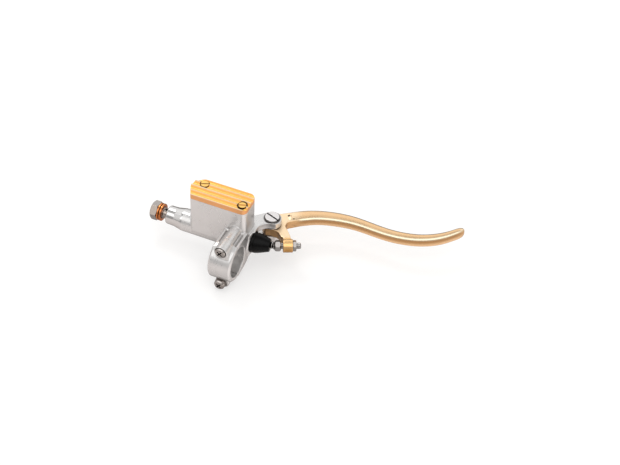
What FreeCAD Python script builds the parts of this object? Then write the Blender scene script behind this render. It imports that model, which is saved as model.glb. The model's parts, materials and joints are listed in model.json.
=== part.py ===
import FreeCAD, Part
import math
import os
import Sketcher

# Motorcycle front brake master cylinder, right hand side.
# Frame: origin at the centre of the handlebar clamp bore, +X along the bar
# towards the lever tip, +Y forward away from the rider, +Z up. Millimetres.
# "Near" and "far" mean close to the rider and away from the rider (along Y).
# Cutting tools overshoot the material they cut.

V = FreeCAD.Vector
os.makedirs("parts", exist_ok=True)
doc = FreeCAD.newDocument("brake_master_cylinder")
sheet = doc.addObject("Spreadsheet::Sheet", "Params")

# Driving dimensions: alias, value. Names ending in _x, _y, _z are coordinates.
DIMS = [
    # handlebar clamp
    ("bar_radius", 12.7), ("clamp_radius", 16.7), ("clamp_half_width", 9.5),
    ("clamp_gap", 0.2), ("clamp_screw_z", 17.0), ("lower_screw_z", 16.4),
    ("clamp_screw_radius", 2.5), ("clamp_boss_radius", 4.8), ("lower_boss_end_y", 14.5),
    ("lug_face_y", -9.2), ("lower_face_y", -11.2), ("clamp_head_radius", 4.4),
    ("lug_near_y", -12.1), ("lug_recess_radius", 4.75), ("lug_wall", 0.8),
    ("lug_side_radius", 4.2), ("ring_chamfer", 1.2), ("clamp_head_height", 3.4),
    ("clamp_washer_thick", 1.0), ("upper_screw_end", 15.0), ("lower_screw_end", 13.0),
    ("flute_radius", 2.0), ("thread_clear", 0.05), ("contact_gap", 0.02),
    ("cross_length", 5.4), ("cross_width", 1.1),
    # hydraulic barrel
    ("piston_y", 26.0), ("bore_radius", 7.0), ("barrel_radius", 9.4),
    ("snout_radius", 7.7), ("snout_growth", 0.25), ("snout_x", -64.7),
    ("flare_start_x", -57.5), ("flare_end_x", -50.5), ("flare_blend", 6.0),
    ("snout_lip", 1.0), ("mouth_lip", 0.5), ("barrel_end_x", 10.5),
    ("bore_end_x", -55.0), ("port_radius", 5.0), ("feed_port_x", -14.5),
    ("feed_port_radius", 1.1), ("comp_port_x", -28.6), ("comp_port_radius", 0.5),
    # reservoir
    ("tank_near_y", 16.0), ("tank_far_y", 37.3), ("tank_right_x", 8.0),
    ("tank_left_x", -39.4), ("tank_corner_x", -49.6), ("tank_lean", 25.5),
    ("tank_base_z", 0.4), ("tank_top_z", 35.4), ("tank_floor_z", 11.6), ("tank_wall", 3.0),
    ("corner_left_near", 1.6), ("corner_left_far", 9.4), ("corner_right", 4.6),
    ("recess_inset", 1.4), ("recess_depth", 1.4), ("post_radius", 4.2),
    ("post_base_z", 6.0), ("post_inset", 0.2), ("cover_base_z", 35.5), ("cover_top_z", 40.5),
    ("ridge_pitch", 5.3), ("groove_radius", 2.75), ("groove_centre_z", 41.5),
    ("near_screw_x", 2.6), ("near_screw_y", 22.6), ("far_screw_x", -34.6),
    ("far_screw_y", 32.4), ("cover_head_radius", 3.35), ("cover_head_seat_z", 37.5),
    ("cover_head_top_z", 39.6), ("cover_shank_radius", 2.0), ("cover_shank_end_z", 25.0),
    # diaphragm and splash plate
    ("rim_inset", 1.5), ("rim_thick", 1.3), ("bellows_x", -28.8), ("bellows_inset", 4.4),
    ("bellows_depth", 9.0), ("bellows_length", 24.8), ("bellows_width", 13.0),
    ("bellows_height", 8.0), ("bellows_wall", 1.2), ("splash_x", -28.6),
    ("splash_length", 17.4), ("splash_width", 7.0), ("splash_thick", 0.8),
    ("splash_lift", 1.2), ("splash_foot_radius", 1.4),
    # lever pivot and ears
    ("pivot_x", 17.4), ("pivot_y", 47.9), ("ear_radius", 7.7), ("ear_top_z", 10.3),
    ("slot_half", 4.6), ("arch_x", 22.8), ("arch_y", 30.9), ("arch_radius", 11.4),
    ("pivot_shoulder", 4.0), ("pivot_thread", 3.0), ("pivot_head_radius", 6.4),
    ("pivot_head_height", 1.8), ("pivot_end_z", -14.6), ("run_clear", 0.05),
    ("bush_wall", 1.5), ("shim_thick", 0.6), ("nut_height", 4.0), ("nut_across", 10.0),
    # lever
    ("plate_half", 3.9), ("blade_half", 4.3), ("lever_boss_radius", 5.4),
    ("lever_boss_length", 7.9), ("lever_boss_x", 34.0), ("lever_boss_y", 32.2),
    ("push_angle", 25.5), ("adjuster_radius", 2.5), ("adjuster_ball", 3.0),
    ("adjuster_ball_back", 6.0), ("adjuster_hex", 8.0), ("adjuster_end", 14.4),
    ("locknut_thick", 2.7), ("locknut_hex", 8.0),
    # pushrod and piston stack
    ("rod_radius", 2.3), ("rod_neck", 0.4), ("rod_ball", 2.5), ("rod_ball_x", 1.0),
    ("cup_bore", 3.1), ("piston_clear", 0.05), ("piston_groove", 4.4),
    ("piston_waist", 4.6), ("piston_nose", 3.0),
    ("stop_x", 6.2), ("stop_thick", 1.0), ("clip_x", 7.7), ("clip_thick", 1.2),
    ("cup_base_x", -22.4), ("cup_lip_x", -26.4), ("seat_end_x", -30.0),
    ("seat_shoulder", 1.0), ("spring_wire", 0.55), ("spring_radius", 5.2),
    ("spring_turns", 7.0), ("spring_gap", 0.1),
    # boot
    ("boot_left_x", 10.6), ("boot_left_radius", 8.6), ("boot_right_x", 25.0),
    ("boot_right_radius", 5.0),
    # outlet
    ("banjo_head_x", -79.1), ("banjo_head_thick", 5.9), ("banjo_hex", 14.0),
    ("banjo_shank_end_x", -57.0), ("banjo_drill_radius", 1.7), ("banjo_cross_radius", 1.3),
    ("washer_thick", 1.5), ("washer_outer", 7.3), ("washer_gap", 0.7), ("washer_chamfer", 0.3),
]


class Dim:
    """A number that remembers the sheet formula it came from."""

    def __init__(self, value, text):
        self.v = float(value)
        self.t = text

    @staticmethod
    def of(other):
        if isinstance(other, Dim):
            return other
        return Dim(other, "(%r)" % float(other))

    def __add__(self, other):
        other = Dim.of(other)
        return Dim(self.v + other.v, "(%s + %s)" % (self.t, other.t))

    def __sub__(self, other):
        other = Dim.of(other)
        return Dim(self.v - other.v, "(%s - %s)" % (self.t, other.t))

    def __mul__(self, other):
        other = Dim.of(other)
        return Dim(self.v * other.v, "(%s * %s)" % (self.t, other.t))

    def __truediv__(self, other):
        other = Dim.of(other)
        return Dim(self.v / other.v, "(%s / %s)" % (self.t, other.t))

    def __neg__(self):
        return Dim(-self.v, "(-1 * %s)" % self.t)


class Sizes:
    """Holds one Dim for each alias of the sheet."""


dim = Sizes()
for row, (alias, number) in enumerate(DIMS, start=1):
    sheet.set("A%d" % row, alias)
    sheet.set("B%d" % row, repr(float(number)))
    sheet.setAlias("B%d" % row, alias)
    setattr(dim, alias, Dim(number, "Params." + alias))
doc.recompute()

# rotations for primitives, which stand along local Z
Z_TO_X = FreeCAD.Rotation(V(0, 1, 0), 90)
Z_TO_Y = FreeCAD.Rotation(V(1, 0, 0), -90)
# rotations for turned bodies, which lie along local X
X_TO_Y = FreeCAD.Rotation(V(0, 0, 1), 90)
X_TO_Z = FreeCAD.Rotation(V(0, 1, 0), -90)


# ---------------------------------------------------------------- modelling helpers
def bind(obj, prop, value):
    obj.setExpression(prop, Dim.of(value).t)


def place(obj, pos, rot=None):
    """Position bound to the sheet; the rotation is fixed."""
    rot = rot or FreeCAD.Rotation()
    pos = [Dim.of(p) for p in pos]
    obj.Placement = FreeCAD.Placement(V(*[p.v for p in pos]), rot)
    for axis, p in zip("xyz", pos):
        bind(obj, "Placement.Base." + axis, p)
    return obj


def cyl(name, radius, height, pos, rot=None):
    obj = doc.addObject("Part::Cylinder", name)
    bind(obj, "Radius", radius)
    bind(obj, "Height", height)
    return place(obj, pos, rot)


def box(name, size, pos, rot=None):
    obj = doc.addObject("Part::Box", name)
    for prop, value in zip(("Length", "Width", "Height"), size):
        bind(obj, prop, value)
    return place(obj, pos, rot)


def hexagon(name, across, height, pos, rot=None):
    obj = doc.addObject("Part::Prism", name)
    obj.Polygon = 6
    bind(obj, "Circumradius", across / math.sqrt(3.0))
    bind(obj, "Height", height)
    return place(obj, pos, rot)


def ball(name, radius, pos, rot=None):
    obj = doc.addObject("Part::Sphere", name)
    bind(obj, "Radius", radius)
    return place(obj, pos, rot)


def fuse(name, shapes):
    obj = doc.addObject("Part::MultiFuse", name)
    obj.Shapes = shapes
    obj.Refine = True
    return obj


def cut(name, base, tools):
    tool = tools[0]
    if len(tools) > 1:
        tool = doc.addObject("Part::MultiFuse", name + "_tools")
        tool.Shapes = tools
    obj = doc.addObject("Part::Cut", name)
    obj.Base = base
    obj.Tool = tool
    obj.Refine = True
    return obj


def common(name, base, tool):
    obj = doc.addObject("Part::Common", name)
    obj.Base = base
    obj.Tool = tool
    obj.Refine = True
    return obj


def group(name, shapes):
    obj = doc.addObject("Part::Compound", name)
    obj.Links = shapes
    return obj


def outline(body, name, role, points):
    """Closed polygon sketch; every corner is held by two bound dimensions."""
    sketch = body.newObject("Sketcher::SketchObject", name)
    plane = [f for f in body.Origin.OriginFeatures if f.Role == role][0]
    sketch.AttachmentSupport = [(plane, "")]
    sketch.MapMode = "FlatFace"
    corners = [(Dim.of(a), Dim.of(b)) for a, b in points]
    count = len(corners)
    for i in range(count):
        start, end = corners[i], corners[(i + 1) % count]
        line = Part.LineSegment(V(start[0].v, start[1].v, 0), V(end[0].v, end[1].v, 0))
        sketch.addGeometry(line, False)
    for i in range(count):
        sketch.addConstraint(Sketcher.Constraint("Coincident", i, 2, (i + 1) % count, 1))
    for i, (across, up) in enumerate(corners):
        for kind, value, tag in (("DistanceX", across, "u"), ("DistanceY", up, "w")):
            index = sketch.addConstraint(Sketcher.Constraint(kind, -1, 1, i, 1, value.v))
            sketch.renameConstraint(index, "%s%d" % (tag, i))
            sketch.setExpression("Constraints.%s%d" % (tag, i), value.t)
    return sketch


def turned(name, points, pos, rot=None):
    """Body turned about its local X axis from (x, radius) corners."""
    body = doc.addObject("PartDesign::Body", name)
    sketch = outline(body, name + "_profile", "XY_Plane", points)
    revolution = body.newObject("PartDesign::Revolution", name + "_turned")
    revolution.Profile = sketch
    revolution.ReferenceAxis = (sketch, ["H_Axis"])
    revolution.Angle = 360.0
    body.Tip = revolution
    doc.recompute()
    return place(body, pos, rot)


def turned_ring(name, start, end, inner, outer, pos, rot=None):
    """Square-edged ring between two stations of its local X axis."""
    points = [(start, inner), (start, outer), (end, outer), (end, inner)]
    return turned(name, points, pos, rot)


def padded(name, role, points, length, pos, midplane=False):
    body = doc.addObject("PartDesign::Body", name)
    sketch = outline(body, name + "_outline", role, points)
    pad = body.newObject("PartDesign::Pad", name + "_pad")
    pad.Profile = sketch
    pad.Midplane = midplane
    bind(pad, "Length", length)
    body.Tip = pad
    doc.recompute()
    return place(body, pos)


def round_edges(body, test, radius, name):
    """Fillets the edges of the body's tip that pass the test."""
    base = body.Tip
    names = ["Edge%d" % (i + 1) for i, e in enumerate(base.Shape.Edges) if test(e)]
    if not names:
        raise RuntimeError("no edge found for " + name)
    fillet = body.newObject("PartDesign::Fillet", name)
    fillet.Base = (base, names)
    bind(fillet, "Radius", radius)
    body.Tip = fillet
    doc.recompute()
    if fillet.Shape.isNull() or not fillet.Shape.isValid():
        raise RuntimeError("fillet failed: " + name)


def upright_at(x, y, tol=0.05):
    """Edge test: an upright edge at x, y."""
    def test(edge):
        a, b = edge.Vertexes[0].Point, edge.Vertexes[-1].Point
        return (abs(a.x - x) < tol and abs(a.y - y) < tol and abs(b.x - x) < tol
                and abs(b.y - y) < tol and abs(a.z - b.z) > 0.5)
    return test


def ring_at(x, radius, tol=0.02):
    """Edge test: a circle of this radius centred at x."""
    def test(edge):
        curve = edge.Curve
        if curve.TypeId != "Part::GeomCircle":
            return False
        return abs(curve.Center.x - x.v) < tol and abs(curve.Radius - radius.v) < tol
    return test


# ---------------------------------------------------------------- shared places
def on_axis(x, z=0):
    """Point on the piston axis, or above it by z."""
    return (x, dim.piston_y, z)


def at_pivot(z=0):
    return (dim.pivot_x, dim.pivot_y, z)


AXIS = on_axis(0)
PIVOT = at_pivot()

# the push line runs through the lever boss, turned from +X about +Z
PUSH_COS = math.cos(math.radians(dim.push_angle.v))
PUSH_SIN = math.sin(math.radians(dim.push_angle.v))
PUSH = FreeCAD.Rotation(V(0, 0, 1), dim.push_angle.v)
ALONG_PUSH = PUSH.multiply(Z_TO_X)


def push_point(along=0.0, aside=0.0, z=0):
    """Point measured along and to the left of the push line from the boss face."""
    return (dim.lever_boss_x + along * PUSH_COS - aside * PUSH_SIN,
            dim.lever_boss_y + along * PUSH_SIN + aside * PUSH_COS, z)


BOSS_FACE = push_point()
BALL_CENTRE = push_point(-dim.adjuster_ball_back)

# clamp screws: name, z, face under the washer, screw end y, recess radius in the cap
CLAMP_SCREWS = [
    ("upper", dim.clamp_screw_z, dim.lug_face_y, dim.upper_screw_end, dim.lug_recess_radius),
    ("lower", -dim.lower_screw_z, dim.lower_face_y, dim.lower_screw_end,
     dim.clamp_head_radius + 0.5)]


def clamp_half_tools(tag, start_y):
    """The bar, and a block that removes one half of the clamp from start_y forward."""
    return [cyl("bar_tool_" + tag, dim.bar_radius, 60.0, (-30.0, 0, 0), Z_TO_X),
            box("half_tool_" + tag, (60.0, 60.0, 80.0), (-30.0, start_y, -40.0))]


COVER_SCREWS = ("near", "far")


def at_cover_screw(name, tag, radius, height, z):
    """Upright cylinder centred on one of the two cover screws."""
    x, y = getattr(dim, tag + "_screw_x"), getattr(dim, tag + "_screw_y")
    return cyl(name + "_" + tag, radius, height, (x, y, z))


def screw_slot(name, length, width, depth, x, y, top_z, angle):
    """Screwdriver slot centred on x, y and cut down from top_z."""
    rot = FreeCAD.Rotation(V(0, 0, 1), angle)
    offset = rot.multVec(V(-length / 2, -width / 2, 0))
    return box(name, (length, width, 3.0), (x + offset.x, y + offset.y, top_z - depth), rot)


# ---------------------------------------------------------------- tank plan
# corners of the plan: name, sheet radius, score that is lowest at that corner
PLAN_CORNERS = [
    ("left_near", "corner_left_near", lambda p: p[1] * 3 + p[0]),
    ("right_near", "corner_right", lambda p: p[1] - p[0]),
    ("right_far", "corner_right", lambda p: -p[0] - p[1]),
    ("left_far", "corner_left_far", lambda p: p[0] - 0.6 * p[1])]
SMALLEST_CORNER = 0.6


def inset_plan(inset):
    """The tank plan moved inwards; its left side leans by tank_lean degrees."""
    inset = Dim.of(inset)
    lean = math.radians(dim.tank_lean.v)
    side = inset / math.cos(lean)
    slope = math.tan(lean)
    return [(dim.tank_left_x + (side - inset * slope), dim.tank_near_y + inset),
            (dim.tank_right_x - inset, dim.tank_near_y + inset),
            (dim.tank_right_x - inset, dim.tank_far_y - inset),
            (dim.tank_corner_x + (side + inset * slope), dim.tank_far_y - inset)]


def tank_block(name, tag, inset, height, base_z):
    """Upright block of the tank plan with its four corners rounded."""
    body = padded(name, "XY_Plane", inset_plan(inset), height, (0, 0, base_z))
    for corner, alias, score in PLAN_CORNERS:
        vertices = [(v.Point.x, v.Point.y) for v in body.Tip.Shape.Vertexes]
        x, y = min(vertices, key=score)
        radius = getattr(dim, alias) - inset
        if radius.v <= SMALLEST_CORNER:
            radius = SMALLEST_CORNER
        round_edges(body, upright_at(x, y), radius, tag + "_" + corner)
    return body


# ---------------------------------------------------------------- housing
def make_barrel():
    flare_radius = dim.snout_radius + dim.snout_growth
    body = turned("barrel_form", [
        (dim.snout_x, 0), (dim.snout_x, dim.snout_radius),
        (dim.flare_start_x, flare_radius), (dim.flare_end_x, dim.barrel_radius),
        (dim.barrel_end_x, dim.barrel_radius), (dim.barrel_end_x, 0)], AXIS)
    for name, x, ring_radius, radius in (
            ("flare_lower", dim.flare_start_x, flare_radius, dim.flare_blend),
            ("flare_upper", dim.flare_end_x, dim.barrel_radius, dim.flare_blend),
            ("snout_lip", dim.snout_x, dim.snout_radius, dim.snout_lip),
            ("mouth_lip", dim.barrel_end_x, dim.barrel_radius, dim.mouth_lip)):
        round_edges(body, ring_at(x, ring_radius), radius, name)
    return body


SADDLE_END_Y = dim.tank_near_y + 2


def make_saddle():
    """Forward half of the bar clamp and the web that joins it to the barrel."""
    top_z = dim.clamp_screw_z - 1.2
    # side outline: y, z
    saddle = padded("saddle_form", "YZ_Plane", [
        (dim.clamp_gap, top_z), (SADDLE_END_Y, top_z), (dim.piston_y, 6.0),
        (dim.piston_y, -9.0), (22.5, -10.8), (18.0, -14.0), (11.0, -16.0),
        (dim.clamp_gap, -dim.clamp_radius)], dim.clamp_half_width * 2, (0, 0, 0), midplane=True)
    flute_x = dim.clamp_boss_radius + 0.9
    flutes = [cyl("flute_" + tag, dim.flute_radius, 16.0,
                  (x, -1.0, dim.clamp_screw_z - 0.5), Z_TO_Y)
              for tag, x in (("left", -flute_x), ("right", flute_x))]
    return cut("saddle_cut", saddle, flutes)


def make_screw_bosses():
    return [cyl("boss_" + tag, dim.clamp_boss_radius, end_y - dim.clamp_gap,
                (0, dim.clamp_gap, z), Z_TO_Y)
            for tag, end_y, z in (("upper", SADDLE_END_Y, dim.clamp_screw_z),
                                  ("lower", dim.lower_boss_end_y, -dim.lower_screw_z))]


DIAGONAL = 0.7071       # share of a radius along x and along y at 45 degrees

# plan of the space for the lever between the ears: x, y
LEVER_SLOT_PLAN = [(10.6, 20.0), (10.6, 36.0), (5.0, 42.0), (2.0, 52.0), (8.0, 66.0),
                   (40.0, 66.0), (40.0, 20.0)]


def make_ears():
    """The two lever ears, made as one block and parted by the lever slot."""
    # plan: x, y
    plan = [(-10.0, 27.0), (dim.pivot_x - 22.3, dim.pivot_y - 11.42),
            (dim.pivot_x - dim.ear_radius * DIAGONAL, dim.pivot_y + dim.ear_radius * DIAGONAL),
            PIVOT[:2], (dim.pivot_x + 3.9, dim.pivot_y - 6.6),
            (15.4, 28.0), (10.4, 26.0), (10.4, 19.6), (0.0, 19.6)]
    height = dim.ear_top_z * 2
    ears = padded("ear_form", "XY_Plane", plan, height, (0, 0, -dim.ear_top_z))
    ear_round = cyl("ear_round", dim.ear_radius, height, at_pivot(-dim.ear_top_z))
    ears_all = fuse("ears_all", [ears, ear_round])
    arch = cyl("arch_tool", dim.arch_radius, 40.0, (dim.arch_x, dim.arch_y, -20.0))
    lever_slot = padded("lever_slot_tool", "XY_Plane", LEVER_SLOT_PLAN, dim.slot_half * 2,
                        (0, 0, -dim.slot_half))
    return cut("ears_cut", ears_all, [arch, lever_slot])


def make_bore_tool():
    """Bore with its circlip groove and a chamfered mouth."""
    radius = dim.bore_radius
    groove_start = dim.clip_x - 0.05
    groove_end = dim.clip_x + dim.clip_thick + 0.05
    return turned("bore_tool", [
        (dim.bore_end_x, 0), (dim.bore_end_x, radius - 0.8), (dim.bore_end_x + 0.8, radius),
        (groove_start, radius), (groove_start, radius + 0.6),
        (groove_end, radius + 0.6), (groove_end, radius),
        (dim.barrel_end_x - 0.4, radius), (dim.barrel_end_x + 0.3, radius + 0.7),
        (dim.barrel_end_x + 1, radius + 0.7), (dim.barrel_end_x + 1, 0)], AXIS)


def make_screw_posts():
    """Posts for the cover screws, trimmed to the tank plan."""
    height = dim.tank_top_z - dim.recess_depth - dim.post_base_z
    posts = [at_cover_screw("post", tag, dim.post_radius, height, dim.post_base_z)
             for tag in COVER_SCREWS]
    trim = tank_block("post_trim", "trim", dim.post_inset, 60.0, -5.0)
    return common("posts", fuse("post_pair", posts), trim)


def make_housing():
    tank = tank_block("tank_form", "tank", 0.0, dim.tank_top_z - dim.tank_base_z,
                      dim.tank_base_z)
    cast = fuse("casting", [make_barrel(), tank, make_saddle()] + make_screw_bosses()
                + [make_ears()])
    hollow = tank_block("tank_hollow", "hollow", dim.tank_wall,
                        dim.tank_top_z - dim.tank_floor_z + 2, dim.tank_floor_z)
    shell = fuse("shell_b", [cut("shell_a", cast, [hollow]), make_screw_posts()])

    recess = tank_block("gasket_recess", "recess", dim.recess_inset, 4.0,
                        dim.tank_top_z - dim.recess_depth)
    outlet = cyl("outlet_tool", dim.port_radius + dim.thread_clear,
                 dim.bore_end_x - dim.snout_x + 2, on_axis(dim.snout_x - 1), Z_TO_X)
    clamp_hole_radius = dim.clamp_screw_radius + dim.thread_clear
    clamp_holes = [cyl(tag + "_hole_tool", clamp_hole_radius, length, (0, -0.5, z), Z_TO_Y)
                   for tag, length, z in (
                       ("upper", dim.upper_screw_end + 1, dim.clamp_screw_z),
                       ("lower", dim.lower_screw_end + 3, -dim.lower_screw_z))]
    # shoulder clearance in the upper ear, thread in the lower ear
    pivot_holes = [
        cyl("pivot_clear_tool", dim.pivot_shoulder + dim.run_clear, 20.0, PIVOT),
        cyl("pivot_tap_tool", dim.pivot_thread + dim.thread_clear, 20.0, at_pivot(-20.0))]
    boot_room = cyl("boot_room_tool", dim.boot_left_radius + 0.7, 30.0,
                    on_axis(dim.barrel_end_x), Z_TO_X)
    ports = [cyl("feed_port_tool", dim.feed_port_radius, 14.0, on_axis(dim.feed_port_x)),
             cyl("comp_port_tool", dim.comp_port_radius, 14.0, on_axis(dim.comp_port_x))]
    cover_taps = [at_cover_screw("tap", tag, dim.cover_shank_radius + dim.thread_clear, 14.0,
                                 dim.cover_shank_end_z - 1) for tag in COVER_SCREWS]
    return cut("housing", shell, [recess, make_bore_tool(), outlet]
               + clamp_half_tools("housing", dim.clamp_gap - 60.0) + clamp_holes
               + pivot_holes + [boot_room] + ports + cover_taps)


# ---------------------------------------------------------------- reservoir cover
# groove centres, in ridge pitches from the near face of the tank
GROOVE_CENTRES = (0.55, 1.55, 2.6, 3.62)


def make_cover():
    blank = tank_block("cover_blank", "cover", 0.0, dim.cover_top_z - dim.cover_base_z,
                       dim.cover_base_z)
    tools = [cyl("groove_%d" % (i + 1), dim.groove_radius, 80.0,
                 (-60.0, dim.tank_near_y + dim.ridge_pitch * centre, dim.groove_centre_z),
                 Z_TO_X) for i, centre in enumerate(GROOVE_CENTRES)]
    for tag in COVER_SCREWS:
        tools.append(at_cover_screw("seat", tag, dim.cover_head_radius + 0.7, 10.0,
                                    dim.cover_head_seat_z))
        tools.append(at_cover_screw("seat_hole", tag, dim.cover_shank_radius + 0.3, 20.0, 25.0))
    return cut("cover_cut", blank, tools)


# ---------------------------------------------------------------- diaphragm and splash plate
def make_diaphragm():
    """Flat rim with a box-shaped bellows hanging into the tank, open at the top."""
    rim = tank_block("diaphragm_rim", "diaphragm", dim.rim_inset, dim.rim_thick,
                     dim.tank_top_z - dim.rim_thick)
    wall = dim.bellows_wall
    y = dim.tank_near_y + dim.bellows_inset
    z = dim.tank_top_z - dim.bellows_depth
    outer = box("bellows_outer", (dim.bellows_length, dim.bellows_width, dim.bellows_height),
                (dim.bellows_x, y, z))
    inner = box("bellows_inner", (dim.bellows_length - wall * 2, dim.bellows_width - wall * 2,
                                  dim.bellows_height + 1),
                (dim.bellows_x + wall, y + wall, z + wall))
    rim_holes = [at_cover_screw("rim_hole", tag, dim.cover_shank_radius + 0.4, 10.0,
                                dim.tank_top_z - 5.0) for tag in COVER_SCREWS]
    return cut("diaphragm_cut", fuse("diaphragm_solid", [rim, outer]), [inner] + rim_holes)


SPLASH_FEET_X = (-24.5, -18.5)


def make_splash_plate():
    """Plate on two feet over the reservoir floor."""
    plate = box("splash_blank", (dim.splash_length, dim.splash_width, dim.splash_thick),
                (dim.splash_x, dim.piston_y - dim.splash_width / 2,
                 dim.tank_floor_z + dim.splash_lift))
    feet = [cyl("splash_foot_%d" % (i + 1), dim.splash_foot_radius, dim.splash_lift,
                on_axis(x, dim.tank_floor_z + dim.contact_gap))
            for i, x in enumerate(SPLASH_FEET_X)]
    return fuse("splash_fused", [plate] + feet)


# ---------------------------------------------------------------- cover screws
def make_cover_screw(tag, slot_angle):
    head = at_cover_screw("cover_head", tag, dim.cover_head_radius,
                          dim.cover_head_top_z - dim.cover_head_seat_z, dim.cover_head_seat_z)
    shank = at_cover_screw("cover_shank", tag, dim.cover_shank_radius,
                           dim.cover_head_seat_z - dim.cover_shank_end_z, dim.cover_shank_end_z)
    slot = screw_slot("cover_slot_" + tag, length=12.0, width=1.0, depth=1.0,
                      x=getattr(dim, tag + "_screw_x"), y=getattr(dim, tag + "_screw_y"),
                      top_z=dim.cover_head_top_z, angle=slot_angle)
    return cut("cover_screw_" + tag, fuse("cover_screw_solid_" + tag, [head, shank]), [slot])


def make_cover_screws():
    return group("cover_screw_pair", [make_cover_screw("near", slot_angle=22.0),
                                      make_cover_screw("far", slot_angle=25.0)])


# ---------------------------------------------------------------- clamp cap and its screws
def make_clamp_cap():
    """Half of the bar clamp on the rider's side."""
    half, radius, chamfer = dim.clamp_half_width, dim.clamp_radius, dim.ring_chamfer
    ring = turned("cap_ring", [
        (-half, 0), (-half, radius - chamfer), (-half + chamfer, radius),
        (half - chamfer, radius), (half, radius - chamfer), (half, 0)], (0, 0, 0))
    upper_z, lower_z = dim.clamp_screw_z, -dim.lower_screw_z
    solid = fuse("cap_solid", [
        ring,
        cyl("cap_lug_upper", dim.lug_recess_radius + dim.lug_wall, 20.0,
            (0.3, dim.lug_near_y, upper_z), Z_TO_Y),
        box("cap_lug_foot", (6.6, 12.0, 6.0), (0, dim.lug_near_y, upper_z - 5.6)),
        cyl("cap_lug_lower", dim.clamp_boss_radius, 20.0, (0, dim.lower_face_y, lower_z), Z_TO_Y),
        cyl("cap_lug_side", dim.lug_side_radius, 20.0,
            (2.6, dim.lower_face_y, lower_z + 0.6), Z_TO_Y),
        box("cap_top_block", (half * 2, 6.0, 4.0), (-half, -6.0, upper_z - 5.2))])
    holes = []
    for tag, z, face_y, _, recess_radius in CLAMP_SCREWS:
        holes.append(cyl("cap_hole_" + tag, dim.clamp_screw_radius + 0.2, 40.0,
                         (0, -30.0, z), Z_TO_Y))
        holes.append(cyl("cap_seat_" + tag, recess_radius, 22.0, (0, face_y - 22.0, z), Z_TO_Y))
    return cut("clamp_cap_cut", solid, clamp_half_tools("cap", -dim.clamp_gap) + holes)


def make_clamp_screw(tag, z, face_y, end_y):
    """Domed screw along +Y with a cross recess in its head."""
    seat_y = face_y - dim.clamp_washer_thick - dim.contact_gap
    head_y = seat_y - dim.clamp_head_height
    head, shank = dim.clamp_head_radius, dim.clamp_screw_radius
    form = turned("clamp_screw_form_" + tag, [
        (head_y, 0), (head_y, head - 1.9), (head_y + 0.5, head - 0.8), (head_y + 1.4, head),
        (seat_y, head), (seat_y, shank), (end_y - 0.8, shank), (end_y - 0.3, shank - 0.6),
        (end_y - 0.3, 0)], (0, 0, z), X_TO_Y)
    cross = []
    for k, angle in enumerate((40.0, 130.0)):
        rot = FreeCAD.Rotation(V(0, 1, 0), angle)
        offset = rot.multVec(V(-dim.cross_length.v / 2, 0, -dim.cross_width.v / 2))
        cross.append(box("cross_%s_%d" % (tag, k), (dim.cross_length, 2.4, dim.cross_width),
                         (offset.x, head_y - 0.2, z + offset.z), rot))
    return cut("clamp_screw_" + tag, form, cross)


def make_clamp_screws():
    return group("clamp_screw_pair", [make_clamp_screw(tag, z, face_y, end_y)
                                      for tag, z, face_y, end_y, _ in CLAMP_SCREWS])


def make_clamp_washers():
    return group("clamp_washer_pair", [
        turned_ring("clamp_washer_form_" + tag, face_y - dim.clamp_washer_thick, face_y,
                    dim.clamp_screw_radius + 0.2, dim.clamp_head_radius + 0.25,
                    (0, 0, z), X_TO_Y)
        for tag, z, face_y, _, _ in CLAMP_SCREWS])


# ---------------------------------------------------------------- outlet bolt and sealing washers
BANJO_HEAD_END_X = dim.banjo_head_x + dim.banjo_head_thick


def make_banjo_bolt():
    start, end = dim.banjo_head_x, BANJO_HEAD_END_X
    flat = dim.banjo_hex / 2
    hex_form = hexagon("banjo_hex_form", dim.banjo_hex, dim.banjo_head_thick, on_axis(start),
                       FreeCAD.Rotation(V(1, 0, 0), 20).multiply(Z_TO_X))
    round_form = turned("banjo_round_form", [
        (start, 0), (start, flat - 0.3), (start + 1.0, flat + 1.2), (end - 0.6, flat + 1.2),
        (end, flat), (end, 0)], AXIS)
    head = common("banjo_head", hex_form, round_form)
    # the shank has a waist where the cross drilling passes
    radius, tip = dim.port_radius, dim.banjo_shank_end_x
    shank = turned("banjo_shank_form", [
        (end - 1, 0), (end - 1, radius), (end + 4.4, radius), (end + 5.0, radius - 0.8),
        (end + 7.8, radius - 0.8), (end + 8.4, radius), (tip - 0.8, radius),
        (tip, radius - 0.7), (tip, 0)], AXIS)
    drill = cyl("banjo_drill", dim.banjo_drill_radius, 12.5, on_axis(tip - 11.5), Z_TO_X)
    cross = cyl("banjo_cross", dim.banjo_cross_radius, 14.0, on_axis(end + 6.4, -7.0))
    return cut("banjo_bolt_cut", fuse("banjo_bolt_solid", [head, shank]), [drill, cross])


def make_banjo_washers():
    washers = []
    inner, outer, chamfer = dim.port_radius + 0.15, dim.washer_outer, dim.washer_chamfer
    for k in (0, 1):
        start = BANJO_HEAD_END_X + 0.05 + (dim.washer_thick + dim.washer_gap) * k
        end = start + dim.washer_thick
        washers.append(turned("crush_washer_%d" % (k + 1), [
            (start, inner), (start, outer - chamfer), (start + chamfer, outer),
            (end - chamfer, outer), (end, outer - chamfer), (end, inner)], AXIS))
    return group("banjo_washer_pair", washers)


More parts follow.
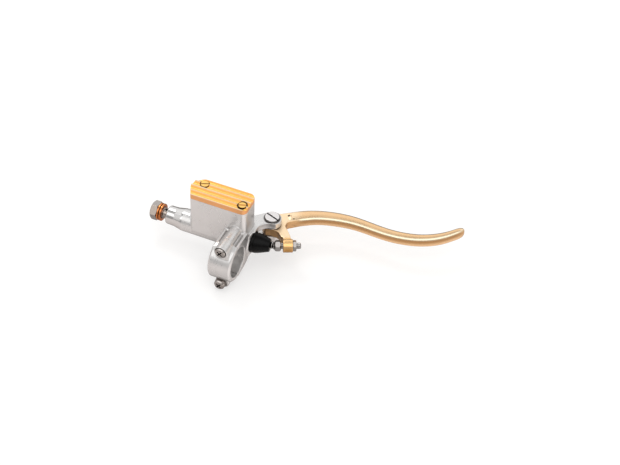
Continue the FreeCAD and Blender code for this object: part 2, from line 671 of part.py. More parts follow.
# ---------------------------------------------------------------- pivot screw, nut, bush, shims
def make_pivot_screw():
    thread, shoulder, head = dim.pivot_thread, dim.pivot_shoulder, dim.pivot_head_radius
    end_z = dim.pivot_end_z
    step_z = -dim.slot_half + dim.contact_gap
    seat_z = dim.ear_top_z + dim.contact_gap
    top_z = dim.ear_top_z + dim.pivot_head_height
    form = turned("pivot_screw_form", [
        (end_z, 0), (end_z, thread - 0.6), (end_z + 0.6, thread), (step_z, thread),
        (step_z, shoulder), (seat_z, shoulder), (seat_z, head), (top_z - 0.7, head),
        (top_z, head - 0.8), (top_z, 0)], PIVOT, X_TO_Z)
    slot = screw_slot("pivot_slot", length=16.0, width=1.4, depth=1.1,
                      x=dim.pivot_x, y=dim.pivot_y, top_z=top_z, angle=-20)
    return cut("pivot_screw_cut", form, [slot])


def make_pivot_nut():
    top_z = -dim.ear_top_z - dim.contact_gap
    low_z = top_z - dim.nut_height
    chamfer_z = -dim.ear_top_z - dim.nut_height + 0.7
    flat = dim.nut_across / 2
    hex_form = hexagon("pivot_nut_hex", dim.nut_across, dim.nut_height, at_pivot(low_z))
    round_form = turned("pivot_nut_round", [
        (low_z, 0), (low_z, flat - 0.2), (chamfer_z, flat + 0.8), (top_z, flat + 0.8),
        (top_z, 0)], PIVOT, X_TO_Z)
    tap = cyl("pivot_nut_tap", dim.pivot_thread + dim.thread_clear, 30.0, at_pivot(-30.0))
    return cut("pivot_nut_cut", common("pivot_nut_head", hex_form, round_form), [tap])


def make_lever_bush():
    return turned_ring("lever_bush_form", -dim.plate_half, dim.plate_half,
                       dim.pivot_shoulder + dim.run_clear, dim.pivot_shoulder + dim.bush_wall,
                       PIVOT, X_TO_Z)


def make_lever_shims():
    start = dim.plate_half + 0.03
    end = start + dim.shim_thick
    return group("lever_shim_pair", [
        turned_ring("lever_shim_" + tag, start * side, end * side,
                    dim.pivot_shoulder + 0.06, dim.ear_radius - 1.0, PIVOT, X_TO_Z)
        for side, tag in ((1, "upper"), (-1, "lower"))])


# ---------------------------------------------------------------- brake lever
# plan of the flat root plate: x, y
ROOT_PLAN = [
    (14.4, 41.1), (18.7, 42.1), (25.6, 41.7), (30.6, 37.0), (32.2, 30.6), (38.4, 33.6),
    (39.4, 36.9), (36.2, 41.6), (32.2, 46.0), (28.0, 50.4), (27.8, 55.0), (35.0, 61.2),
    (40.0, 66.5), (34.0, 71.5), (27.4, 68.0), (19.3, 62.2), (12.0, 56.5), (9.9, 50.0),
    (10.5, 44.2)]

# rounded corners of the root plate: x, y, radius
ROOT_ROUNDS = [
    (28.0, 50.4, 2.2), (25.6, 41.7, 5.0), (30.6, 37.0, 5.0), (12.0, 56.5, 5.0),
    (9.9, 50.0, 4.0), (10.5, 44.2, 3.0), (27.8, 55.0, 4.0)]

# blade stations: centre x, centre y, centre z, width, height as a share of blade_half
STATIONS = [
    (26.5, 61.8, 0, 10.5, 1.00), (30.2, 64.2, 0, 11.6, 1.00), (43.6, 72.7, 0, 11.2, 1.00),
    (59.6, 78.3, 0, 10.5, 1.00), (74.6, 80.6, 0, 9.7, 1.00), (88.0, 80.4, 0, 9.1, 1.00),
    (102.0, 79.7, 0, 8.8, 1.00), (117.0, 81.0, 0, 8.5, 1.01), (132.0, 85.8, -0.15, 8.0, 1.04),
    (144.8, 94.4, -0.45, 7.2, 1.09), (153.0, 103.1, -0.50, 6.0, 1.08),
    (157.0, 108.1, -0.40, 4.8, 0.97), (158.4, 109.9, -0.30, 3.0, 0.74)]

# quarters of a section: side sign, height sign, start angle
QUARTERS = ((1, 1, 0), (-1, 1, 90), (-1, -1, 180), (1, -1, 270))


def rounded_section(centre, along, width, half_height):
    """Closed rounded rectangle across the blade."""
    side, up = V(-along.y, along.x, 0), V(0, 0, 1)
    half_width = width / 2.0
    radius = min(0.62 * half_height, 0.80 * half_width)
    points = []
    for side_sign, up_sign, start in QUARTERS:
        for k in range(4):
            angle = math.radians(start + 30.0 * k)
            across = side_sign * (half_width - radius) + radius * math.cos(angle)
            height = up_sign * (half_height - radius) + radius * math.sin(angle)
            points.append(centre + side * across + up * height)
    curve = Part.BSplineCurve()
    curve.interpolate(points, PeriodicFlag=True)
    return Part.Wire([curve.toShape()])


def make_blade():
    sections = []
    for k, (x, y, z, width, share) in enumerate(STATIONS):
        before = STATIONS[max(k - 1, 0)]
        after = STATIONS[min(k + 1, len(STATIONS) - 1)]
        along = V(after[0] - before[0], after[1] - before[1], 0).normalize()
        sections.append(rounded_section(V(x, y, z), along, width, dim.blade_half.v * share))
    blade = doc.addObject("Part::Feature", "lever_blade_form")
    blade.Shape = Part.makeLoft(sections, True, False)
    return blade


def make_lever():
    plate = padded("lever_plate_form", "XY_Plane", ROOT_PLAN, dim.plate_half * 2,
                   (0, 0, -dim.plate_half))
    for k, (x, y, radius) in enumerate(ROOT_ROUNDS):
        round_edges(plate, upright_at(x, y), radius, "lever_round_%d" % (k + 1))
    boss = cyl("lever_boss_form", dim.lever_boss_radius, dim.lever_boss_length, BOSS_FACE,
               ALONG_PUSH)
    solid = fuse("lever_solid", [plate, make_blade(), boss])
    hub_hole = cyl("hub_hole_tool", dim.pivot_shoulder + dim.bush_wall, 40.0, at_pivot(-20.0))
    tap = cyl("adjuster_tap_tool", dim.adjuster_radius + dim.thread_clear, 30.0,
              push_point(-10), ALONG_PUSH)
    # flattens the plate behind the boss face, only within a round zone
    trim = box("lever_boss_trim", (12.0, 30.0, 30.0), push_point(-12, aside=-15, z=-15.0), PUSH)
    zone = cyl("lever_trim_zone", 6.8, 30.0, push_point(-3.4, z=-15.0))
    return cut("lever_cut", solid, [hub_hole, tap, common("lever_face_tool", trim, zone)])


# ---------------------------------------------------------------- adjuster, its nut and the pushrod
def make_adjuster():
    """Threaded shank, domed hexagon head and ball, along the push line."""
    radius, end = dim.adjuster_radius, dim.adjuster_end
    shank = turned("adjuster_shank_form", [
        (-1.8, 0), (-1.8, radius + 0.6), (-1.4, radius + 0.6), (-1.4, radius),
        (end - 0.6, radius), (end, radius - 0.6), (end, 0)], BOSS_FACE, PUSH)
    hex_form = hexagon("adjuster_hex_form", dim.adjuster_hex, 5.8, push_point(-7.3), ALONG_PUSH)
    dome = turned("adjuster_dome_form", [
        (-7.2, 0), (-7.2, 2.6), (-6.4, 3.8), (-5.3, 4.7), (-2.9, 4.7), (-1.7, 3.7),
        (-1.7, 0)], BOSS_FACE, PUSH)
    head = common("adjuster_head", hex_form, dome)
    end_ball = ball("adjuster_ball_form", dim.adjuster_ball, BALL_CENTRE, ALONG_PUSH)
    return fuse("adjuster_fused", [shank, head, end_ball])


def make_locknut():
    start = dim.lever_boss_length + 0.05
    end = start + dim.locknut_thick
    flat = dim.locknut_hex / 2
    hex_form = hexagon("locknut_hex_form", dim.locknut_hex, dim.locknut_thick,
                       push_point(start), ALONG_PUSH)
    round_form = turned("locknut_round_form", [
        (start, 0), (start, flat + 0.1), (start + 0.4, flat + 0.7), (end - 0.4, flat + 0.7),
        (end, flat + 0.1), (end, 0)], BOSS_FACE, PUSH)
    tap = cyl("locknut_tap", dim.adjuster_radius + dim.thread_clear, 30.0, BOSS_FACE, ALONG_PUSH)
    return cut("locknut_cut", common("locknut_head", hex_form, round_form), [tap])


def make_pushrod():
    """Rod from its ball in the piston to a socket on the adjuster ball."""
    reach_x = BALL_CENTRE[0].v - dim.rod_ball_x.v
    reach_y = BALL_CENTRE[1].v - dim.piston_y.v
    length = math.hypot(reach_x, reach_y)
    rot = FreeCAD.Rotation(V(0, 0, 1), math.degrees(math.atan2(reach_y, reach_x)))
    along_rod = rot.multiply(Z_TO_X)
    start = on_axis(dim.rod_ball_x)
    radius = dim.rod_radius
    neck = radius - dim.rod_neck
    form = turned("pushrod_form", [
        (0.5, 0), (0.5, neck), (2.4, neck), (3.4, radius), (length - 5.4, radius),
        (length - 5.0, radius - 0.5), (length - 4.0, radius - 0.5),
        (length - 3.6, radius + 0.2), (length - 2.7, radius + 0.6),
        (length - 2.2, radius + 0.6), (length - 2.2, 0)], start, rot)
    nose = ball("pushrod_nose", dim.rod_ball, start, along_rod)
    socket = ball("pushrod_socket_tool", dim.adjuster_ball + dim.run_clear, BALL_CENTRE,
                  along_rod)
    return cut("pushrod_cut", fuse("pushrod_solid", [form, nose]), [socket])


# ---------------------------------------------------------------- piston and seals
PISTON_RADIUS = dim.bore_radius - dim.piston_clear


def make_piston():
    """Piston with a seal groove, a long waist, a nose at -X and a rod cup at +X."""
    mouth_x = dim.stop_x - 0.05
    step_x = dim.cup_base_x + 0.4
    nose_x = dim.cup_base_x - 1.2
    radius, groove = PISTON_RADIUS, dim.piston_groove
    return turned("piston_form", [
        (mouth_x, dim.cup_bore + 0.9), (mouth_x, radius), (1.2, radius), (1.2, groove),
        (-3.6, groove), (-3.6, radius), (-5.4, radius), (-5.8, dim.piston_waist),
        (-18.6, dim.piston_waist), (-19.0, radius), (step_x, radius),
        (step_x, dim.piston_nose), (nose_x, dim.piston_nose), (nose_x, 0), (-3.1, 0),
        (-1.9, dim.cup_bore - 1.0), (0.9, dim.cup_bore), (1.5, dim.cup_bore)], AXIS)


def make_secondary_cup():
    inner = dim.piston_groove + 0.05
    return turned("secondary_cup_form", [
        (1.1, inner), (1.1, 6.4), (0.4, 6.6), (-3.4, PISTON_RADIUS), (-3.5, 6.3),
        (-1.6, 5.6), (-1.6, inner)], AXIS)


def make_cup_washer():
    return turned_ring("cup_washer_form", dim.cup_base_x + 0.35, dim.cup_base_x + 0.05,
                       dim.piston_nose + 0.1, PISTON_RADIUS - 0.1, AXIS)


def make_primary_cup():
    inner, base, lip = dim.piston_nose + 0.05, dim.cup_base_x, dim.cup_lip_x
    return turned("primary_cup_form", [
        (base, inner), (base, 6.4), (base - 1.0, 6.6), (lip, PISTON_RADIUS),
        (lip - 0.1, 6.2), (base - 1.8, 5.0), (base - 1.8, inner)], AXIS)


def make_spring_seat():
    start, lip, end = dim.cup_base_x - 1.9, dim.cup_lip_x, dim.seat_end_x
    shoulder = lip - dim.seat_shoulder
    return turned("spring_seat_form", [
        (start, 0), (start, 4.6), (lip - 0.2, 5.9), (shoulder, 5.9), (shoulder, 4.3),
        (end, 4.0), (end, 0)], AXIS)


def make_stop_washer():
    return turned_ring("stop_washer_form", dim.stop_x, dim.stop_x + dim.stop_thick,
                       dim.rod_radius + 2.6, dim.bore_radius - 0.1, AXIS)


def make_circlip():
    ring = turned_ring("circlip_ring_form", dim.clip_x, dim.clip_x + dim.clip_thick,
                       dim.bore_radius - 1.4, dim.bore_radius + 0.5, AXIS)
    gap = box("circlip_gap", (6.0, 5.0, 12.0), (dim.clip_x - 2, dim.piston_y - 2.5, -12.0))
    return cut("circlip_cut", ring, [gap])


def make_spring():
    """Half rings of round wire, each leaning the other way, joined end to end
    into one coil between the bore end and the spring seat."""
    margin = dim.spring_wire.v + dim.spring_gap.v
    start_x = dim.bore_end_x.v + margin
    end_x = dim.cup_lip_x.v - dim.seat_shoulder.v - margin
    halves = int(2 * dim.spring_turns.v)
    rise = (end_x - start_x) / halves
    radius = dim.spring_radius.v
    reach = math.hypot(radius, rise / 2)
    reach_text = ("sqrt(Params.spring_radius * Params.spring_radius + %r)"
                  % (rise * rise / 4))
    frame = FreeCAD.Placement(V(start_x, dim.piston_y.v, 0), Z_TO_X)
    half_rings = []
    for k in range(halves):
        sign = 1 if k % 2 == 0 else -1
        ex = V(sign * radius / reach, 0, -rise / 2 / reach)
        ey = V(0, sign, 0)
        ez = ex.cross(ey)
        lean = FreeCAD.Rotation(FreeCAD.Matrix(
            ex.x, ey.x, ez.x, 0, ex.y, ey.y, ez.y, 0, ex.z, ey.z, ez.z, 0, 0, 0, 0, 1))
        ring = doc.addObject("Part::Torus", "coil_half_%d" % (k + 1))
        bind(ring, "Radius1", Dim(reach, reach_text))
        bind(ring, "Radius2", dim.spring_wire)
        ring.Angle3 = 180.0
        ring.Placement = frame.multiply(FreeCAD.Placement(V(0, 0, rise * (k + 0.5)), lean))
        half_rings.append(ring)
    return fuse("return_spring_form", half_rings)


# ---------------------------------------------------------------- dust boot
BOOT_LEAN = FreeCAD.Rotation(V(0, 0, 1), 9.0)


def make_boot():
    """Leaning tapered sleeve, cut square where it meets the barrel mouth."""
    span = dim.boot_right_x.v - dim.boot_left_x.v
    left, right = dim.boot_left_radius, dim.boot_right_radius
    outer = turned("boot_outer_form", [
        (-1.0, 0), (-1.0, left), (2.0, left), (6.0, left - 0.7), (10.5, left - 2.0),
        (span - 1.0, right), (span, right - 0.6), (span, 0)],
        on_axis(dim.boot_left_x + 0.05), BOOT_LEAN)
    face = box("boot_face_tool", (10.0, 40.0, 40.0),
               (dim.boot_left_x - 10 + dim.contact_gap, dim.piston_y - 20, -20.0))
    inner = turned("boot_inner_form", [
        (-3.0, 0), (-3.0, left - 1.4), (2.0, left - 1.4), (10.5, left - 3.4),
        (span + 2, dim.rod_radius + 1.6), (span + 2, 0)], on_axis(dim.boot_left_x), BOOT_LEAN)
    return cut("boot_cut", outer, [inner, face])


# ---------------------------------------------------------------- pieces and export
PIECES = [
    ("master_cylinder_body", make_housing), ("reservoir_cover", make_cover),
    ("reservoir_diaphragm", make_diaphragm), ("splash_plate", make_splash_plate),
    ("cover_screws", make_cover_screws), ("clamp_cap", make_clamp_cap),
    ("clamp_screws", make_clamp_screws), ("clamp_washers", make_clamp_washers),
    ("banjo_bolt", make_banjo_bolt), ("banjo_washers", make_banjo_washers),
    ("pivot_screw", make_pivot_screw), ("pivot_nut", make_pivot_nut),
    ("lever_shims", make_lever_shims), ("stop_washer", make_stop_washer),
    ("circlip", make_circlip), ("dust_boot", make_boot), ("return_spring", make_spring),
    ("brake_lever", make_lever), ("lever_bush", make_lever_bush),
    ("adjuster_screw", make_adjuster), ("adjuster_locknut", make_locknut),
    ("pushrod", make_pushrod), ("piston", make_piston), ("primary_cup", make_primary_cup),
    ("secondary_cup", make_secondary_cup), ("spring_seat", make_spring_seat),
    ("cup_washer", make_cup_washer),
]

pieces = [(label, make()) for label, make in PIECES]
for label, piece in pieces:
    piece.Label = label
doc.recompute()

failed = [o.Name for o in doc.Objects if "Invalid" in o.State or "Error" in o.State]
if failed:
    raise RuntimeError("objects failed: " + ", ".join(failed))
for label, piece in pieces:
    shape = piece.Shape
    if shape.isNull() or not shape.isValid() or not shape.Solids:
        raise RuntimeError("bad shape: " + label)
for label, piece in pieces:
    piece.Shape.exportStep("parts/" + label + ".step")
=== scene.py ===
# A hydraulic brake master cylinder with its bar clamp and lever, on a pale floor.
# The barrel axis runs along x at y = 26 mm, z = 0, and the lever turns about an axis along z.
# The camera looks down towards +y, so left is -x and z is up. Sizes are in mm unless noted.
import json
import math

import bmesh
import bpy
from mathutils import Matrix, Vector


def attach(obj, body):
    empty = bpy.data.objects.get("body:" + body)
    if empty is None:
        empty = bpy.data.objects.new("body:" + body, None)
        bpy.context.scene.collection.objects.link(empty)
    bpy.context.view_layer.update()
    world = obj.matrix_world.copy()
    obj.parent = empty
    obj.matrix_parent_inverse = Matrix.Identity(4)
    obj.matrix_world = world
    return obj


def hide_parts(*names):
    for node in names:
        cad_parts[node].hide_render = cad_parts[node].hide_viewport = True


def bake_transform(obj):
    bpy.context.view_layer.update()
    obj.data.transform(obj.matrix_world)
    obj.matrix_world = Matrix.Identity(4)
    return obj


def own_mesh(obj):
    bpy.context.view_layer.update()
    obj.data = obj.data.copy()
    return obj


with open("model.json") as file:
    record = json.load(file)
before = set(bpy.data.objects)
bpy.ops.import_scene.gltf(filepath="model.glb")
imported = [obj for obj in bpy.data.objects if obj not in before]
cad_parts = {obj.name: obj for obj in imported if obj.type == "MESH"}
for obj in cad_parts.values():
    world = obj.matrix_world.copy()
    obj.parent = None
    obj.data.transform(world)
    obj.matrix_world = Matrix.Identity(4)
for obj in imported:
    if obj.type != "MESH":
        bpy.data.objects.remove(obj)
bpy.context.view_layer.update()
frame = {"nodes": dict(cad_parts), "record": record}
nodes = frame["nodes"]

MM = 0.001
TAU = 2 * math.pi
BARREL_Y = 26.0
LEVER_PIVOT = (17.4, 47.9, 0)

TURN = math.radians(25.5)  # about z, shared by the view and the adjuster screw
TILT = math.radians(45.0)  # of the view, downwards
RIGHT = Vector((math.cos(TURN), math.sin(TURN), 0))
AWAY = Vector((-math.sin(TURN), math.cos(TURN), 0))


# ------------------------------------------------------------------ shader graphs
class Graph:
    """Adds linked nodes to one shader tree. A value may be a number, a tuple or a socket."""

    def __init__(self, tree):
        self.tree = tree

    def put(self, socket, value):
        if isinstance(value, bpy.types.NodeSocket):
            self.tree.links.new(value, socket)
        else:
            socket.default_value = (*value, 1) if socket.type == "RGBA" else value

    def fit(self, node, settings):
        """Fills the inputs named in settings, and sets the rest as properties."""
        for key, value in settings.items():
            if key in node.inputs:
                self.put(node.inputs[key], value)
            else:
                setattr(node, key, value)

    def node(self, kind, **settings):
        node = self.tree.nodes.new("ShaderNode" + kind)
        self.fit(node, settings)
        return node

    def calc(self, operation, first, second=None):
        node = self.node("Math", operation=operation)
        self.put(node.inputs[0], first)
        if second is not None:
            self.put(node.inputs[1], second)
        return node.outputs[0]

    def dot(self, first, second):
        node = self.node("VectorMath", operation="DOT_PRODUCT")
        self.put(node.inputs[0], first)
        self.put(node.inputs[1], second)
        return node.outputs["Value"]

    def ramp(self, value, over, to=(0, 1)):
        """Eases from to[0] to to[1] while value crosses the range over."""
        limits = dict(zip(("From Min", "From Max", "To Min", "To Max"), (*over, *to)))
        node = self.node("MapRange", interpolation_type="SMOOTHSTEP", Value=value, **limits)
        return node.outputs["Result"]

    def mix(self, factor, first, second, data_type="RGBA"):
        node = self.node("Mix", data_type=data_type)
        for key, value in (("A", first), ("B", second), ("Factor", factor)):
            self.put(node.inputs[key], value)
        return node.outputs["Result"]

    def noise(self, coords, scale, detail, roughness):
        node = self.node("TexNoise", Vector=coords, Scale=scale, Detail=detail,
                         Roughness=roughness)
        return node.outputs["Fac"]

    def shell(self, place, centre, axis, inner, outer, edge, span=None):
        """1 between two radii about an axis through centre, with soft edges.
        span = (low, high[, softness]) limits it along the axis."""
        squares = None
        for i, key in enumerate("XYZ"):
            if key.lower() == axis:
                continue
            offset = self.calc("SUBTRACT", place[key], centre[i] * MM)
            square = self.calc("MULTIPLY", offset, offset)
            squares = square if squares is None else self.calc("ADD", squares, square)
        distance = self.calc("SQRT", squares)

        def step(value, at, soft, to):
            return self.ramp(value, over=((at - soft) * MM, (at + soft) * MM), to=to)

        mask = step(distance, outer, edge, (1, 0))
        if inner > 0:
            mask = self.calc("MULTIPLY", mask, step(distance, inner, edge, (0, 1)))
        if span:
            low, high, soft = (*span, 0.1)[:3]
            along = place[axis.upper()]
            mask = self.calc("MULTIPLY", mask, step(along, low, soft, (0, 1)))
            mask = self.calc("MULTIPLY", mask, step(along, high, soft, (1, 0)))
        return mask


def new_material(name):
    material = bpy.data.materials.new(name)
    material.use_nodes = True
    tree = material.node_tree
    return material, Graph(tree), tree.nodes["Principled BSDF"]


def scaled(tone, factor):
    return tuple(channel * factor for channel in tone)


# ------------------------------------------------------------------ metal and rubber
def painted_bar_light(graph, colour, normal, place, centre, reach, crown, glint, band, low, back):
    """Paints light and shade on a bar within reach of centre, from its crown down to its
    underside (low).
    back is the painted dark tone of faces turned to +y."""
    ramp, mix = graph.ramp, graph.mix
    shade = mix(ramp(place["Z"], over=(-2.4 * MM, 1.4 * MM)), low, band)
    shade = mix(ramp(normal["Z"], over=(0.22, 0.66)), shade, glint)
    shade = mix(ramp(normal["Z"], over=(0.90, 1.0)), shade, crown)
    shade = mix(ramp(normal["Y"], over=(0.06, 0.38)), shade, back)
    return mix(graph.shell(place, centre, "z", inner=0, outer=reach, edge=5.0), colour, shade)


def metal(name, side, top, rough, mid=None, slope=None, bar=None, crest=None, polish=None,
          marks=(), local=False, metallic=1.0, brush=(1, 1, 1), brush_amount=0.05, bump=0.03,
          pits=0.0, patch=0.06, bevel=0.25, wear=0.25, corner_shade=0.35, corner_shade_tint=(0.30, 0.24, 0.2),
          ao_dist=3.5, rim=0.0):
    """Metal with fine brushed grain, soft patches, worn bright edges and painted shade in its
    corners.
    side, mid and top are the tones of upright, sloping and upward faces: painted light and shade
    by the way a face turns.
    slope is a painted tone of light and shade for sloping faces turned to -y, and bar holds the
    arguments for painted light and shade across a bar.
    crest = (z0, z1, tone) paints a highlight tone on what rises from z0 to z1.
    polish = (x, roughness) smooths what lies left of x.
    marks are rows of shell arguments, then a tone and its amount.
    local reads places in the piece's own frame, and rim paints a dark reflection on grazing
    surfaces."""
    material, graph, shader = new_material(name)
    ramp, mix, calc = graph.ramp, graph.mix, graph.calc
    coords = graph.node("TexCoord").outputs["Object"]
    stretched = graph.node("Mapping", Vector=coords, Scale=brush).outputs["Vector"]
    grain = graph.noise(stretched, scale=900.0, detail=3.0, roughness=0.6)
    cloud = graph.noise(coords, scale=60.0, detail=4.0, roughness=0.55)
    rounded = graph.node("Bevel", samples=12, Radius=bevel * MM).outputs["Normal"]
    geometry = graph.node("NewGeometry").outputs
    normal = graph.node("SeparateXYZ", Vector=geometry["Normal"]).outputs
    if polish or crest or bar or marks:
        where = coords if local else geometry["Position"]
        place = graph.node("SeparateXYZ", Vector=where).outputs

    # painted light and shade: tones by the way a face turns and by its place
    if mid:
        colour = mix(ramp(normal["Z"], over=(0.10, 0.62)), side, mid)
        colour = mix(ramp(normal["Z"], over=(0.82, 0.985)), colour, top)
    else:
        colour = mix(ramp(normal["Z"], over=(0.15, 0.95)), side, top)
    # painted light and shade: sloping faces turned to -y take the slope tone
    if slope:
        lean = calc("MULTIPLY", ramp(normal["Y"], over=(-0.62, 0.05), to=(1, 0)),
                    ramp(normal["Z"], over=(0.3, 0.6)))
        colour = mix(lean, colour, slope)
    # painted highlight and shade in bands across the lever bar
    if bar:
        colour = painted_bar_light(graph, colour, normal, place, **bar)
    # painted highlight on what rises to the crest
    if crest:
        ridge = ramp(place["Z"], over=(crest[0] * MM, crest[1] * MM))
        colour = mix(ridge, colour, crest[2])

    # patches and grain
    tone = calc("MULTIPLY", ramp(cloud, over=(0.3, 0.7), to=(1.0 - patch, 1.0)),
                ramp(grain, over=(0.25, 0.75), to=(0.97, 1.0)))
    scale = graph.node("VectorMath", operation="SCALE", Vector=colour, Scale=tone)
    colour = scale.outputs["Vector"]

    # wear shows where the rounded normal leaves the flat one
    flatness = graph.dot(geometry["Normal"], rounded)
    edge = ramp(flatness, over=(0.80, 0.995), to=(wear, 0.0))
    colour = mix(edge, colour, tuple(min(1.0, channel * 1.12) for channel in top))

    # painted shade in corners and recesses, where ambient occlusion finds them
    occlusion = graph.node("AmbientOcclusion", samples=6, Distance=ao_dist * MM)
    corner_shade_tone = tuple(channel * tint for channel, tint in zip(side, corner_shade_tint))
    corner_shade_share = ramp(occlusion.outputs["AO"], over=(0.15, 0.80), to=(corner_shade, 0.0))
    colour = mix(corner_shade_share, colour, corner_shade_tone)

    for *region, mark_tone, amount in marks:
        spot = graph.shell(place, *region)
        colour = mix(calc("MULTIPLY", spot, amount), colour, mark_tone)
    # painted dark reflection where a surface is seen at a grazing angle, outlining the
    # silhouettes
    if rim:
        facing = graph.node("LayerWeight", Blend=0.5, Normal=rounded).outputs["Facing"]
        graze = ramp(facing, over=(0.55, 0.92), to=(0.0, rim))
        colour = mix(graze, colour, scaled(side, 0.12))

    roughness = ramp(grain, over=(0.3, 0.7), to=(rough - brush_amount, rough + brush_amount))
    roughness = calc("ADD", roughness, ramp(cloud, over=(0.35, 0.75), to=(-0.02, 0.04)))
    metalness = metallic
    if polish:
        edge_x, polished = polish
        shine = ramp(place["X"], over=((edge_x - 0.6) * MM, (edge_x + 0.6) * MM), to=(1, 0))
        unpolished = calc("MULTIPLY", roughness, calc("SUBTRACT", 1.0, shine))
        roughness = calc("ADD", unpolished, calc("MULTIPLY", shine, polished))
        metalness = calc("ADD", calc("MULTIPLY", shine, 1.0 - metallic), metallic)
    elif crest:
        # the painted crest highlight also loses most metalness, so it stays bright
        metalness = calc("SUBTRACT", metallic, calc("MULTIPLY", ridge, metallic * 0.75))

    height = grain
    if pits:
        pitting = graph.noise(coords, scale=2600.0, detail=2.0, roughness=0.5)
        height = calc("ADD", height, calc("MULTIPLY", pitting, pits))
    relief = graph.node("Bump", Strength=bump, Distance=0.0004, Height=height, Normal=rounded)
    graph.fit(shader, {"Base Color": colour, "Metallic": metalness, "Roughness": roughness,
                       "Normal": relief.outputs["Normal"]})
    return material


def rubber(name, colour, rough, specular):
    """Finely grained rubber with patches of pale dust."""
    material, graph, shader = new_material(name)
    coords = graph.node("TexCoord").outputs["Object"]
    grain = graph.noise(coords, scale=1400.0, detail=4.0, roughness=0.6)
    cloud = graph.noise(coords, scale=120.0, detail=3.0, roughness=0.5)
    dust = graph.ramp(cloud, over=(0.45, 0.8), to=(0.0, 0.25))
    dusty = tuple(channel * 3.0 + 0.002 for channel in colour)
    relief = graph.node("Bump", Strength=0.12, Distance=0.0002, Height=grain)
    graph.fit(shader, {
        "Base Color": graph.mix(dust, graph.mix(grain, scaled(colour, 0.7), colour), dusty),
        "Roughness": graph.ramp(grain, over=(0.3, 0.7), to=(rough - 0.05, rough + 0.06)),
        "Specular IOR Level": specular,
        "Normal": relief.outputs["Normal"]})
    return material


# Screws through the cover run along z, those of the clamp along y.
LEFT_SCREW, RIGHT_SCREW = (-34.6, 32.4, 0), (2.6, 22.6, 0)
UPPER_SCREW, LOWER_SCREW = (0, 0, 17.0), (0, 0, -16.4)
LEVER_BOSS = (37.6, 33.9, 0)
HOLE_SHADE = (0.07, 0.03, 0.012)  # painted shade of the deep holes in the cover
